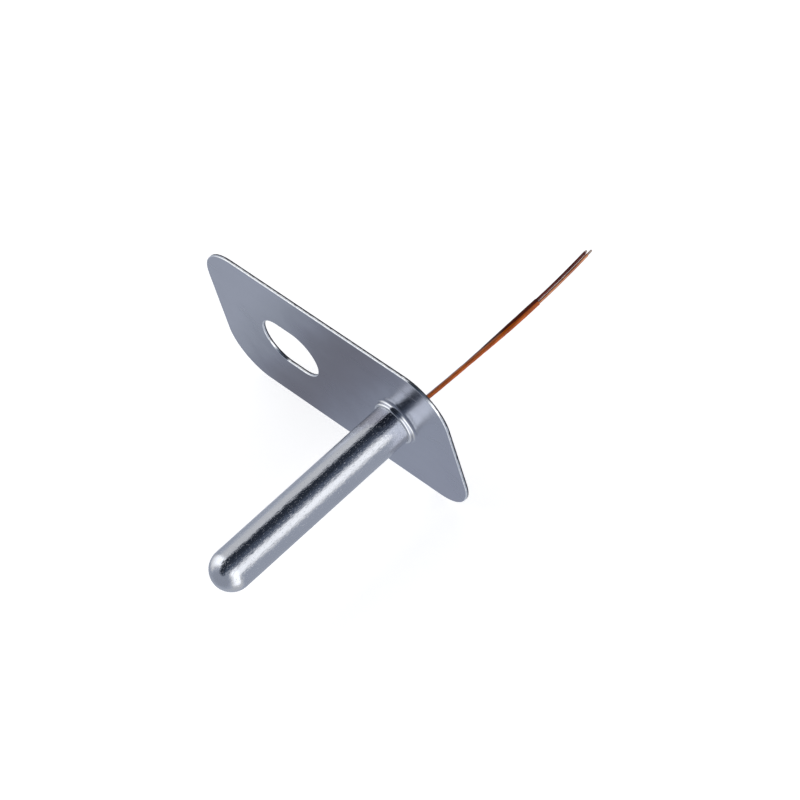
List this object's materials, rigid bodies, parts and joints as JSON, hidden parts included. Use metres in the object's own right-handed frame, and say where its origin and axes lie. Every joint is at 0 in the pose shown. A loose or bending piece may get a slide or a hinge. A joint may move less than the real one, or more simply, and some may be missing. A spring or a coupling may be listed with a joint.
{
  "type": "flange-mounted temperature probe",
  "caption": "Closed metal sheath standing square on a thin stamped mounting plate with a screw slot, a sensing element potted in its tip and a short two-wire lead at its rear.",
  "frame": {"origin": "centre of the plate's seating face, the face that the sheath stands on", "axes": "+X along the plate towards the sheath, -Y along the sheath towards its closed tip, +Z across the plate"},
  "size_m": [0.0472, 0.0706, 0.0246],
  "materials": {
    "plate_steel": "smooth rolled stainless sheet with a soft mirror sheen and a stamped edge",
    "sheath_steel": "bright drawn stainless tube with fine length-wise draw lines and a polished round tip",
    "amber_film": "clear amber polyimide tube, glossy",
    "enamel_dark": "dark brown wire enamel, glossy",
    "enamel_copper": "clear wire enamel over bright copper",
    "tinned_copper": "tin-dipped copper, slightly uneven",
    "seal_compound": "dark epoxy with a smooth cast skin",
    "thermal_filler": "pale filled epoxy, slightly grainy",
    "liner_film": "amber polyimide liner",
    "sleeve_white": "milky fluoropolymer tube",
    "bead_glass": "clear greenish glass",
    "chip_ceramic": "dark sintered metal-oxide ceramic with a fine grain",
    "element_wire": "copper-clad sealing wire, dull"
  },
  "bodies": {
    "root": {"flange_plate": "plate_steel", "probe_sheath": "sheath_steel", "thermistor_chip": "chip_ceramic", "glass_envelope": "bead_glass", "element_lead_a": "element_wire", "element_lead_b": "element_wire", "splice_a": "tinned_copper", "splice_b": "tinned_copper", "splice_sleeve_a": "sleeve_white", "splice_sleeve_b": "sleeve_white", "inner_liner": "liner_film", "tip_compound": "thermal_filler", "rear_seal": "seal_compound", "lead_sleeve": "amber_film", "conductor_a": "tinned_copper", "conductor_b": "tinned_copper", "insulation_a": "enamel_dark", "insulation_b": "enamel_copper"}
  },
  "joints": []
}
